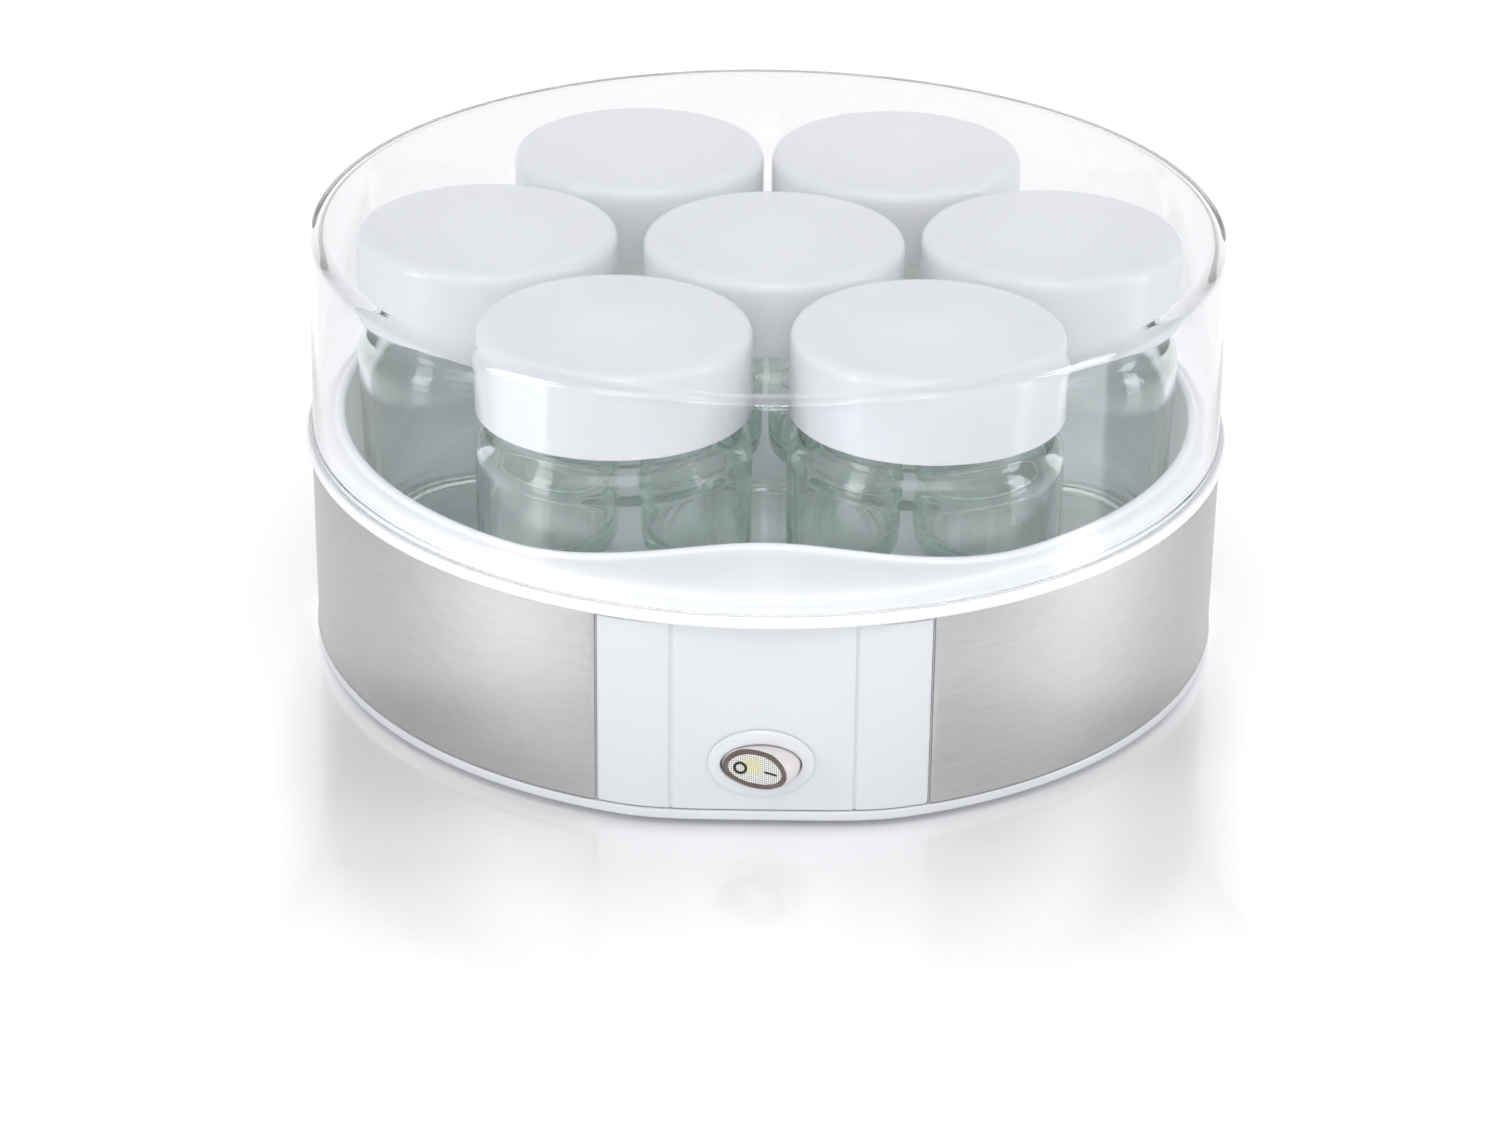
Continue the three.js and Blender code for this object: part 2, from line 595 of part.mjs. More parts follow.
function cover() {
  const footTop = RIM_LEDGE + 3.8;
  const low = RIM_LEDGE + GAP;
  return turned([
    [0, COVER_TOP - COVER_WALL], [113.6, COVER_TOP - COVER_WALL], [114.9, COVER_TOP - 2.6],
    [115.3, COVER_TOP - 3.8], [116.4, footTop], [116.5, low], [118.5, low], [118.4, footTop],
    [117.35, COVER_TOP - 2.8], [116.6, COVER_TOP - 0.9], [114.4, COVER_TOP], [0, COVER_TOP],
  ], ROUND_STEPS);
}

function jar() {
  const inner = JAR_RADIUS - JAR_WALL;
  const mouth = JAR_NECK_RADIUS - 2;
  return turned([
    [0, JAR_LOW], [31.4, JAR_LOW], [JAR_RADIUS, JAR_LOW + 2.9], [JAR_RADIUS, JAR_SHOULDER],
    [JAR_NECK_RADIUS, JAR_SHOULDER + 4.8], [JAR_NECK_RADIUS, JAR_TOP - 4], [31.6, JAR_TOP - 3],
    [31.6, JAR_TOP - 1.4], [30.4, JAR_TOP], [mouth, JAR_TOP], [mouth, JAR_SHOULDER + 5.6],
    [inner, JAR_SHOULDER], [inner, JAR_LOW + 6.3], [inner - 2.3, JAR_LOW + 4.3], [0, JAR_LOW + 4.3],
  ], JAR_STEPS);
}

function jarLid() {
  const inner = LID_RADIUS - LID_WALL;
  const ceiling = JAR_TOP + GAP;
  return turned([
    [0, ceiling], [inner - 1.2, ceiling], [inner, ceiling - 1.1], [inner, LID_LOW],
    [LID_RADIUS, LID_LOW], [LID_RADIUS, LID_TOP - 3.5], [LID_RADIUS - 1, LID_TOP - 1],
    [LID_RADIUS - 3.5, LID_TOP], [0, LID_TOP],
  ], JAR_STEPS);
}

piece('cover', cover(), CLEAR);
for (const [place, [x, y]] of Object.entries(JARS)) {
  piece(`jar_${place}`, jar(), GLASS).position.set(x, y, 0);
  piece(`jar_lid_${place}`, jarLid(), WHITE).position.set(x, y, 0);
}

export default yogurtMaker;
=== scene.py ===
"""The finished look of a seven-jar yogurt maker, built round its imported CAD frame.

Lengths in the profiles are millimetres and are scaled once, where a mesh is made. A profile is a list
of corners (radius, height, easing, share): easing rounds the corner, and share is how far a point takes
part in the warp that its piece has, such as the well's bulge at the front.
"""
import json
import math

import bmesh
import bpy
from mathutils import Matrix, Vector


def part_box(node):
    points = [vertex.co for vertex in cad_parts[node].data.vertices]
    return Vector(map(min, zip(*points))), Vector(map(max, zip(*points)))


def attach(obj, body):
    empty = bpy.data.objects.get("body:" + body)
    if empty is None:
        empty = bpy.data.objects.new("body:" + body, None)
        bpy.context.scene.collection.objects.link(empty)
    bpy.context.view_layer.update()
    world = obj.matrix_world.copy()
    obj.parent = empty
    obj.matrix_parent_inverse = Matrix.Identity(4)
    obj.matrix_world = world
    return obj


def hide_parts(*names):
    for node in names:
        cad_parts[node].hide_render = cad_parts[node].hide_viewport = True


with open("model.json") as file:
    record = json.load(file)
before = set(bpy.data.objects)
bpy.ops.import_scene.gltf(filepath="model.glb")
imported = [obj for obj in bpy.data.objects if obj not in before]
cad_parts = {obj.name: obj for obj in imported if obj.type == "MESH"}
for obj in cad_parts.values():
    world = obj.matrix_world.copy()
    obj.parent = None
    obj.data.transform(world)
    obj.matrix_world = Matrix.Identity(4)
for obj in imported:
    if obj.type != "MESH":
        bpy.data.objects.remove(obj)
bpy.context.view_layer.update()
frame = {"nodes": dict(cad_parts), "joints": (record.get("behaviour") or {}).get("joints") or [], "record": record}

MM = 0.001
FINE = 256  # facets round the base
CLEAR = 720  # facets round the cover and the ledge it stands on, whose glassy edges show every facet
MEDIUM = 96  # facets round a jar, a lid or the bezel
SHARP = math.radians(38)  # an edge that turns by more than this shades as a crease


def millimetres(node):
    """The lowest and highest corner of a CAD node, in millimetres."""
    low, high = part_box(node)
    return low / MM, high / MM


JARS = [name[4:] for name in frame["nodes"] if name.startswith("jar_") and not name.startswith("jar_lid_")]
RIM_RADIUS = millimetres("upper_housing")[1].x
SHELF_TOP = millimetres("upper_housing")[1].z
LIP_LOW = millimetres("outer_housing")[0].z
LIP_RADIUS = millimetres("outer_housing")[1].x
WALL_TOP = millimetres("outer_housing")[1].z
BAND_LOW = millimetres("steel_band")[0].z
BAND_RADIUS = 118.6
PANEL_HALF_WIDTH = millimetres("front_panel")[1].x
FLAT_HALF_WIDTH = 25.5  # of the flat at the front of the base
GROOVE_X = 22.3
CORNER_BLEND = 2.4  # how softly the flat at the front turns into the circle
COVER_TOP = millimetres("cover")[1].z
COVER_LOW = millimetres("cover")[0].z
PIVOT = Vector(next(j["pos_m"] for j in frame["joints"] if j["name"] == "rocker_tilt")) / MM
ROCKER_REST = math.radians(-20)

BULGE_DEPTH = 19.6  # how far the well comes in at the front
BULGE_HALF_ANGLE = math.radians(34)
WELL_RADIUS = 109.8  # at the well's mouth
WELL_DRAFT = 0.6
GLAND_HEIGHT = (millimetres("cord_gland")[0].z + millimetres("cord_gland")[1].z) / 2
GLAND_HOLE = 5.3
SWITCH_HOLE = (11.4, 7.4)  # half width and half height, in the outer wall
PANEL_HOLE = (11.3, 7.2)
FRONT_WALL = (-130, -105)  # stretches of Y that hold the whole wall at the front and at the back
BACK_WALL = (105, 130)


# ---------------------------------------------------------------- mesh helpers


def eased(corners, steps=5, closed=False):
    """A profile with each corner rounded: its easing is the length taken off each side of the corner."""
    full = [Vector((c[0], c[1], c[3] if len(c) > 3 else 0.0)) for c in corners]
    ease = [c[2] if len(c) > 2 else 0.0 for c in corners]
    count = len(full)
    points = []
    for i, corner in enumerate(full):
        inner = closed or 0 < i < count - 1
        if not inner or ease[i] <= 0:
            points.append(corner)
            continue
        before, after = full[i - 1], full[(i + 1) % count]
        start = corner + (before - corner) * min(0.5, ease[i] / max((before - corner).xy.length, 1e-6))
        end = corner + (after - corner) * min(0.5, ease[i] / max((after - corner).xy.length, 1e-6))
        for k in range(steps + 1):
            t = k / steps
            points.append(start.lerp(corner, t).lerp(corner.lerp(end, t), t))
    return points


def smoothed(mesh, angle=SHARP):
    mesh.shade_smooth()
    mesh.set_sharp_from_angle(angle=angle)


def finished(name, bm, body, material, replaces=()):
    """Turns a bmesh in millimetres into a piece that rides on a body."""
    bmesh.ops.remove_doubles(bm, verts=bm.verts, dist=1e-5)
    bmesh.ops.recalc_face_normals(bm, faces=bm.faces)
    bm.transform(Matrix.Scale(MM, 4))
    mesh = bpy.data.meshes.new(name)
    bm.to_mesh(mesh)
    bm.free()
    piece = bpy.data.objects.new(name, mesh)
    bpy.context.scene.collection.objects.link(piece)
    smoothed(mesh)
    for one in material if isinstance(material, (list, tuple)) else [material]:
        mesh.materials.append(one)
    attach(piece, body)
    if replaces:
        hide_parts(*replaces)
    return piece


def full_turn(steps=FINE, extra=()):
    """Bearings once round, from the front, with extra ones put in where an outline has a corner."""
    even = [2 * math.pi * i / steps for i in range(steps)]
    return sorted(even + [b % (2 * math.pi) for b in extra])


def revolve(profile, bearings, warp=None, closed_turn=True, ring=False, middle=(0, 0)):
    """A surface swept round Z. ring closes the profile on itself; an open turn is closed with end faces."""
    bm = bmesh.new()
    columns = []
    for step, bearing in enumerate(bearings):
        column = []
        for p in profile:
            r, z = warp(p, bearing, step) if warp else (p.x, p.y)
            x = middle[0] + r * math.sin(bearing)
            y = middle[1] - r * math.cos(bearing)
            column.append(bm.verts.new((x, y, z)))
        columns.append(column)
    turns = len(columns) if closed_turn else len(columns) - 1
    rows = len(profile) if ring else len(profile) - 1
    for i in range(turns):
        here, there = columns[i], columns[(i + 1) % len(columns)]
        for j in range(rows):
            k = (j + 1) % len(profile)
            bm.faces.new((here[j], there[j], there[k], here[k]))
    if not closed_turn:
        bm.faces.new(columns[0])
        bm.faces.new(list(reversed(columns[-1])))
    bmesh.ops.remove_doubles(bm, verts=bm.verts, dist=1e-4)
    bmesh.ops.dissolve_degenerate(bm, edges=bm.edges, dist=1e-5)
    return bm


def flat_distance(radius):
    """How far in front of the axis the base's flat is, for the layer of that radius."""
    return math.sqrt(BAND_RADIUS**2 - FLAT_HALF_WIDTH**2) - (BAND_RADIUS - radius)


def with_flat(p, bearing):
    """The base's plan: a circle whose front is cut straight across, with soft corners."""
    ahead = math.cos(bearing)
    if ahead < 0.5 or p.x < 1:
        return p.x, p.y
    flat = flat_distance(p.x) / ahead
    share = min(1.0, max(0.0, 0.5 + 0.5 * (flat - p.x) / CORNER_BLEND))
    return flat + (p.x - flat) * share - CORNER_BLEND * share * (1 - share), p.y


def oval(half_width, half_height, steps, centre=(0.0, 0.0)):
    """Points once round an oval."""
    turns = [2 * math.pi * i / steps for i in range(steps)]
    return [(centre[0] + half_width * math.cos(t), centre[1] + half_height * math.sin(t)) for t in turns]


def ellipse_tube(bm, half_width, half_height, wall, centre):
    """Adds a closed oval prism that runs along Y, to cut holes with."""
    ends = []
    for y in wall:
        ends.append([bm.verts.new((x, y, z)) for x, z in oval(half_width, half_height, MEDIUM, centre)])
    for i in range(MEDIUM):
        k = (i + 1) % MEDIUM
        bm.faces.new((ends[0][i], ends[0][k], ends[1][k], ends[1][i]))
    bm.faces.new(ends[0])
    bm.faces.new(list(reversed(ends[1])))


def cut_hole(piece, half_width, half_height, wall, centre):
    """Cuts an oval hole along Y through a piece's wall. centre is the hole's (x, z)."""
    bm = bmesh.new()
    ellipse_tube(bm, half_width, half_height, wall, centre)
    bmesh.ops.recalc_face_normals(bm, faces=bm.faces)
    bm.transform(Matrix.Scale(MM, 4))
    mesh = bpy.data.meshes.new("cutter")
    bm.to_mesh(mesh)
    bm.free()
    cutter = bpy.data.objects.new("cutter", mesh)
    bpy.context.scene.collection.objects.link(cutter)
    modifier = piece.modifiers.new("hole", "BOOLEAN")
    modifier.object = cutter
    modifier.operation = "DIFFERENCE"
    modifier.solver = "EXACT"
    bpy.context.view_layer.update()
    evaluated = piece.evaluated_get(bpy.context.evaluated_depsgraph_get())
    result = bpy.data.meshes.new_from_object(evaluated)
    piece.modifiers.clear()
    piece.data = result
    bpy.data.objects.remove(cutter)
    smoothed(result)


# ---------------------------------------------------------------- materials


class Nodes:
    """A material's node tree, with a few short ways to add to it."""

    def __init__(self, name):
        self.material = bpy.data.materials.new(name)
        self.material.use_nodes = True
        self.tree = self.material.node_tree
        self.shader = self.tree.nodes["Principled BSDF"]

    def add(self, kind, **settings):
        node = self.tree.nodes.new(kind)
        for key, value in settings.items():
            if key in node.inputs:
                node.inputs[key].default_value = value
            else:
                setattr(node, key, value)
        return node

    def link(self, a, b):
        self.tree.links.new(a, b)

    def set(self, **values):
        names = {"color": "Base Color", "roughness": "Roughness", "metallic": "Metallic", "ior": "IOR",
                 "transmission": "Transmission Weight", "anisotropic": "Anisotropic",
                 "emission": "Emission Color"}
        for key, value in values.items():
            self.shader.inputs[names[key]].default_value = value
        return self

    def noise(self, scale, detail=3.0, vector=None, roughness=0.55):
        node = self.add("ShaderNodeTexNoise")
        node.inputs["Scale"].default_value = scale
        node.inputs["Detail"].default_value = detail
        node.inputs["Roughness"].default_value = roughness
        self.link(vector or self.place(), node.inputs["Vector"])
        return node.outputs["Fac"]

    def place(self):
        return self.add("ShaderNodeTexCoord").outputs["Object"]

    def ramp(self, value, low, high, a, b):
        """Maps value from a..b onto low..high, clamped."""
        node = self.add("ShaderNodeMapRange")
        node.inputs["From Min"].default_value = a
        node.inputs["From Max"].default_value = b
        node.inputs["To Min"].default_value = low
        node.inputs["To Max"].default_value = high
        self.link(value, node.inputs["Value"])
        return node.outputs["Result"]

    def mix(self, factor, a, b):
        node = self.add("ShaderNodeMix", data_type="RGBA")
        self.link(factor, node.inputs["Factor"])
        for socket, colour in ((node.inputs[6], a), (node.inputs[7], b)):
            if isinstance(colour, bpy.types.NodeSocket):
                self.link(colour, socket)
            else:
                socket.default_value = colour
        return node.outputs[2]

    def math(self, operation, *values):
        node = self.add("ShaderNodeMath", operation=operation)
        for socket, value in zip(node.inputs, values):
            if isinstance(value, bpy.types.NodeSocket):
                self.link(value, socket)
            else:
                socket.default_value = value
        return node.outputs[0]

    def bump(self, height, strength, distance):
        node = self.add("ShaderNodeBump")
        node.inputs["Strength"].default_value = strength
        node.inputs["Distance"].default_value = distance
        self.link(height, node.inputs["Height"])
        self.link(node.outputs["Normal"], self.shader.inputs["Normal"])

    def roughness_from(self, value):
        self.link(value, self.shader.inputs["Roughness"])

    def colour_from(self, value):
        self.link(value, self.shader.inputs["Base Color"])


def moulded_plastic(name, colour, roughness, tint=0.015):
    """Glossy moulded plastic: a very fine ripple, and slight drift of colour and gloss."""
    n = Nodes(name)
    drift = n.noise(14.0)
    darker = tuple(c * (1 - tint) for c in colour[:3]) + (1.0,)
    lighter = tuple(min(1.0, c * (1 + tint)) for c in colour[:3]) + (1.0,)
    n.colour_from(n.mix(drift, darker, lighter))
    n.roughness_from(n.ramp(n.noise(55.0), roughness * 0.92, roughness * 1.1, 0.3, 0.7))
    n.bump(n.noise(900.0, detail=2.0), 0.2, 0.00002)
    return n.material


def brushed_steel(name, colour):
    """Steel brushed along the band: long thin streaks round Z, with anisotropic gloss."""
    n = Nodes(name)
    n.set(metallic=1.0, anisotropic=0.75)
    split = n.add("ShaderNodeSeparateXYZ")
    n.link(n.place(), split.inputs[0])
    around = n.math("ARCTAN2", split.outputs["X"], n.math("MULTIPLY", split.outputs["Y"], -1.0))
    lanes = n.add("ShaderNodeCombineXYZ")
    n.link(n.math("MULTIPLY", around, 26.0), lanes.inputs["X"])
    n.link(n.math("MULTIPLY", split.outputs["Z"], 5200.0), lanes.inputs["Y"])
    streaks = n.noise(1.0, detail=4.0, vector=lanes.outputs[0], roughness=0.7)
    broad = n.add("ShaderNodeCombineXYZ")
    n.link(n.math("MULTIPLY", around, 9.0), broad.inputs["X"])
    n.link(n.math("MULTIPLY", split.outputs["Z"], 900.0), broad.inputs["Y"])
    bands = n.noise(1.0, detail=2.0, vector=broad.outputs[0])
    both = n.math("ADD", n.math("MULTIPLY", streaks, 0.7), n.math("MULTIPLY", bands, 0.3))
    dark = tuple(c * 0.86 for c in colour[:3]) + (1.0,)
    light = tuple(min(1.0, c * 1.1) for c in colour[:3]) + (1.0,)
    n.colour_from(n.mix(n.ramp(both, 0.0, 1.0, 0.3, 0.7), dark, light))
    n.roughness_from(n.ramp(both, 0.30, 0.44, 0.3, 0.7))
    n.bump(streaks, 0.25, 0.00003)
    tangent = n.add("ShaderNodeTangent", direction_type="RADIAL", axis="Z")
    n.link(tangent.outputs[0], n.shader.inputs["Tangent"])
    return n.material


def plain_metal(name, colour, roughness):
    n = Nodes(name)
    n.set(metallic=1.0)
    mottle = n.noise(260.0)
    n.colour_from(n.mix(mottle, tuple(c * 0.9 for c in colour[:3]) + (1.0,), colour))
    n.roughness_from(n.ramp(mottle, roughness * 0.8, roughness * 1.25, 0.3, 0.7))
    n.bump(n.noise(1500.0), 0.2, 0.00002)
    return n.material


def rough_stuff(name, colour, roughness, scale, height):
    """Rubber, felt, fibre and wire: a rough surface with a grain of its own."""
    n = Nodes(name)
    grain = n.noise(scale, detail=5.0)
    n.colour_from(n.mix(grain, tuple(c * 0.82 for c in colour[:3]) + (1.0,), colour))
    n.roughness_from(n.ramp(grain, roughness * 0.9, min(1.0, roughness * 1.1), 0.3, 0.7))
    n.bump(grain, 0.5, height)
    return n.material


def clear_material(name, colour, ior, shadow, ripple=0.0, depth=None):
    """Glass or clear plastic that lets lamp light through, so that what it covers is lit.

    ripple is the height of the waves in its surface, and depth is the colour and density of its bulk.
    """
    n = Nodes(name)
    if depth:
        tint = n.add("ShaderNodeVolumeAbsorption", Color=depth[0], Density=depth[1])
        n.link(tint.outputs[0], n.tree.nodes["Material Output"].inputs["Volume"])
    n.set(color=colour, ior=ior, transmission=1.0, roughness=0.0)
    if ripple:
        n.bump(n.noise(45.0, detail=1.5), 0.6, ripple)
    passing = n.add("ShaderNodeBsdfTransparent", Color=shadow)
    path = n.add("ShaderNodeLightPath")
    mix = n.add("ShaderNodeMixShader")
    n.link(path.outputs["Is Shadow Ray"], mix.inputs[0])
    n.link(n.shader.outputs[0], mix.inputs[1])
    n.link(passing.outputs[0], mix.inputs[2])
    n.link(mix.outputs[0], n.tree.nodes["Material Output"].inputs["Surface"])
    return n.material


DOT_PITCH = 0.00055  # metres


def diffuser_plastic(name):
    """The rocker's insert: a square grid of small dark dots, and a painted yellowish glow where the lamp behind it
    shines through.
    """
    n = Nodes(name)
    n.set(roughness=0.35)
    split = n.add("ShaderNodeSeparateXYZ")
    turned = n.add("ShaderNodeMapping", vector_type="TEXTURE")
    turned.inputs["Location"].default_value = PIVOT * MM
    turned.inputs["Rotation"].default_value = (0, 0, ROCKER_REST)
    n.link(n.place(), turned.inputs["Vector"])
    n.link(turned.outputs[0], split.inputs[0])
    waves = 2 * math.pi / DOT_PITCH
    across = n.math("COSINE", n.math("MULTIPLY", split.outputs["X"], waves))
    down = n.math("COSINE", n.math("MULTIPLY", split.outputs["Z"], waves))
    dots = n.ramp(n.math("ADD", across, down), 0.0, 1.0, 0.3, 0.9)
    base = n.mix(dots, (0.78, 0.78, 0.76, 1.0), (0.12, 0.115, 0.11, 1.0))
    # Painted lamp glow: over the lamp, the insert's colour turns yellowish and its dark dots lighter.
    left = n.ramp(split.outputs["X"], 0.0, 1.0, -0.0034, -0.0029)
    right = n.ramp(split.outputs["X"], 1.0, 0.0, 0.0011, 0.0016)
    off_middle = n.math("ABSOLUTE", n.math("SUBTRACT", split.outputs["Z"], 0.0008))
    high = n.ramp(off_middle, 1.0, 0.0, 0.0016, 0.0020)
    painted_glow_mask = n.math("MULTIPLY", n.math("MULTIPLY", left, right), high)
    lit = n.mix(dots, (0.72, 0.70, 0.45, 1.0), (0.42, 0.40, 0.22, 1.0))
    n.colour_from(n.mix(painted_glow_mask, base, lit))
    n.bump(dots, 0.4, 0.00008)
    return n.material


# One white plastic in two copies: this one for the outer wall, panel and bezel, and the next one painted lighter
# for the rim, shelf and well, to make up for the light that the cover, jars and lids keep from them.
WHITE = (0.68, 0.695, 0.725, 1.0)
SHELF_WHITE_PAINTED_LIGHTER = (0.86, 0.873, 0.90, 1.0)
LID_WHITE = (0.675, 0.69, 0.72, 1.0)
MATERIALS = {
    "white_plastic": moulded_plastic("white plastic", WHITE, 0.24),
    "lid_plastic": moulded_plastic("lid plastic", LID_WHITE, 0.11),
    "brushed_band": brushed_steel("brushed steel", (0.57, 0.57, 0.56, 1.0)),
    "zinc_steel": plain_metal("zinc plate", (0.62, 0.63, 0.65, 1.0), 0.4),
    "aluminium": plain_metal("aluminium", (0.77, 0.78, 0.79, 1.0), 0.35),
    "brass": plain_metal("brass", (0.74, 0.61, 0.34, 1.0), 0.3),
    "grey_rubber": rough_stuff("grey rubber", (0.42, 0.43, 0.45, 1.0), 0.7, 1800.0, 0.00004),
    "black_plastic": rough_stuff("black plastic", (0.03, 0.03, 0.033, 1.0), 0.45, 1400.0, 0.00003),
    "jar_glass": clear_material("jar glass", (0.98, 0.995, 0.99, 1.0), 1.5, (1.0, 1.0, 1.0, 1.0),
                                ripple=0.00025, depth=((0.46, 0.72, 0.63, 1.0), 25.0)),
    "clear_plastic": clear_material("clear plastic", (0.965, 0.97, 0.98, 1.0), 1.49,
                                    (0.96, 0.965, 0.97, 1.0)),
    "diffuser_plastic": diffuser_plastic("diffuser"),
    "lamp_glass": moulded_plastic("lamp glass", (0.85, 0.82, 0.55, 1.0), 0.1),
    "felt": rough_stuff("felt", (0.80, 0.77, 0.70, 1.0), 0.95, 900.0, 0.0002),
    "silicone_cord": rough_stuff("silicone", (0.52, 0.16, 0.11, 1.0), 0.6, 900.0, 0.00004),
    "brown_wire": rough_stuff("brown wire", (0.24, 0.12, 0.06, 1.0), 0.5, 1500.0, 0.00003),
    "blue_wire": rough_stuff("blue wire", (0.08, 0.2, 0.5, 1.0), 0.5, 1500.0, 0.00003),
    "smoked_plastic": moulded_plastic("smoked plastic", (0.66, 0.63, 0.63, 1.0), 0.12, tint=0.06),
}
# The same white plastic, painted lighter for the rim, shelf and well under the cover.
lighter_painted_housing = moulded_plastic("housing white painted lighter", SHELF_WHITE_PAINTED_LIGHTER, 0.24)
ROCKER_RIM = moulded_plastic("rocker rim", (0.115, 0.085, 0.078, 1.0), 0.12, tint=0.12)
MARK_BLACK = rough_stuff("mark black", (0.012, 0.012, 0.012, 1.0), 0.4, 1500.0, 0.00002)


# ---------------------------------------------------------------- base


def from_front(bearing):
    """The angle between a bearing and the front, either way round."""
    return min(bearing % (2 * math.pi), -bearing % (2 * math.pi))


def bulge(bearing):
    """How far the well comes in at the front, at a bearing."""
    off = from_front(bearing)
    if off >= BULGE_HALF_ANGLE:
        return 0.0
    return BULGE_DEPTH * (1 + math.cos(math.pi * off / BULGE_HALF_ANGLE)) / 2


def build_upper_housing():
    """Rim, shelf and well: a rounded ridge runs round the well's mouth, and the shelf falls away."""
    floor_low, floor_top, ledge = 19.8, 22.0, 58.4
    rim_low = WALL_TOP + 0.3
    foot = WELL_RADIUS - WELL_DRAFT
    profile = eased([
        (0, floor_low),
        (foot + 0.6, floor_low, 1.2, 1),
        (WELL_RADIUS + 2.2, SHELF_TOP - 4.6, 0.6, 1),
        (114.0, SHELF_TOP - 3.2, 0.8, 0.3),
        (114.6, rim_low, 0.2),
        (RIM_RADIUS - 0.4, rim_low, 0.4),
        (RIM_RADIUS, rim_low + 0.7, 0.5),
        (RIM_RADIUS, ledge - 0.3, 0.7),
        (RIM_RADIUS - 0.45, ledge + 0.5, 0.4),
        (RIM_RADIUS - 1.0, ledge + 0.5, 0.15),
        (RIM_RADIUS - 1.1, ledge, 0.1),
        (116.2, ledge, 0.3),
        (115.8, SHELF_TOP - 2.0, 1.6),
        (114.2, SHELF_TOP - 1.1, 1.2, 0.5),
        (WELL_RADIUS + 2.9, SHELF_TOP - 0.9, 0.5, 0.97),
        (WELL_RADIUS + 2.0, SHELF_TOP, 0.7, 1),
        (WELL_RADIUS + 0.1, SHELF_TOP, 1.0, 1),
        (foot, floor_top, 3.2, 1),
        (0, floor_top),
    ])

    def warp(p, bearing, step):
        return p.x - p.z * bulge(bearing), p.y

    bm = revolve(profile, full_turn(CLEAR), warp)
    # This piece takes the white plastic painted lighter, standing in for light lost in the shade under the cover.
    return finished("upper_housing_fine", bm, "base", lighter_painted_housing, ["upper_housing"])


def build_outer_housing():
    """The outer wall with its lower lip, open inside, and sunk by seat_depth behind the panel."""
    inner, outer, lip_height, seat_depth = 115.0, 117.6, 2.6, 1.0
    profile = eased([
        (inner, LIP_LOW, 0.4),
        (LIP_RADIUS, LIP_LOW, 0.9),
        (LIP_RADIUS, LIP_LOW + lip_height, 0.5),
        (outer, LIP_LOW + lip_height, 0.1),
        (outer, WALL_TOP, 0.3),
        (inner, WALL_TOP, 0.3),
    ], closed=True)
    end = math.asin((PANEL_HALF_WIDTH + 0.4) / BAND_RADIUS)

    def warp(p, bearing, step):
        in_seat = from_front(bearing) < end and 117 < p.x < 118
        return with_flat(Vector((p.x - (seat_depth if in_seat else 0.0), p.y)), bearing)

    seat_ends = [s * (end + d) for s in (-1, 1) for d in (-0.0002, 0.0002)]
    bm = revolve(profile, full_turn(extra=seat_ends), warp, ring=True)
    piece = finished("outer_housing_fine", bm, "base", MATERIALS["white_plastic"],
                     ["outer_housing"])
    cut_hole(piece, *SWITCH_HOLE, FRONT_WALL, (PIVOT.x, PIVOT.z))
    cut_hole(piece, GLAND_HOLE, GLAND_HOLE, BACK_WALL, (0, GLAND_HEIGHT))
    return piece


def build_steel_band():
    """The band, with its ends bent in a little beside the panel."""
    thickness, edge, bend_length, bend_depth = 0.5, 0.12, 1.3, 0.42
    outer = BAND_RADIUS
    profile = eased([
        (outer, BAND_LOW, edge), (outer, WALL_TOP, edge),
        (outer - thickness, WALL_TOP, edge), (outer - thickness, BAND_LOW, edge),
    ], steps=2, closed=True)
    end = math.asin((PANEL_HALF_WIDTH + 0.7) / BAND_RADIUS)
    bend = bend_length / BAND_RADIUS

    def warp(p, bearing, step):
        along = min(bearing - end, 2 * math.pi - end - bearing)
        fold = max(0.0, 1 - along / bend)
        return p.x - bend_depth * fold * fold, p.y

    near = [end + bend * k / 4 for k in range(4)]
    far = [2 * math.pi - b for b in reversed(near)]
    inside = [end + bend + (2 * math.pi - 2 * end - 2 * bend) * k / FINE for k in range(FINE + 1)]
    bm = revolve(profile, near + inside + far, warp, closed_turn=False, ring=True)
    piece = finished("steel_band_fine", bm, "base", MATERIALS["brushed_band"],
                     ["steel_band"])
    cut_hole(piece, GLAND_HOLE, GLAND_HOLE, BACK_WALL, (0, GLAND_HEIGHT))
    return piece


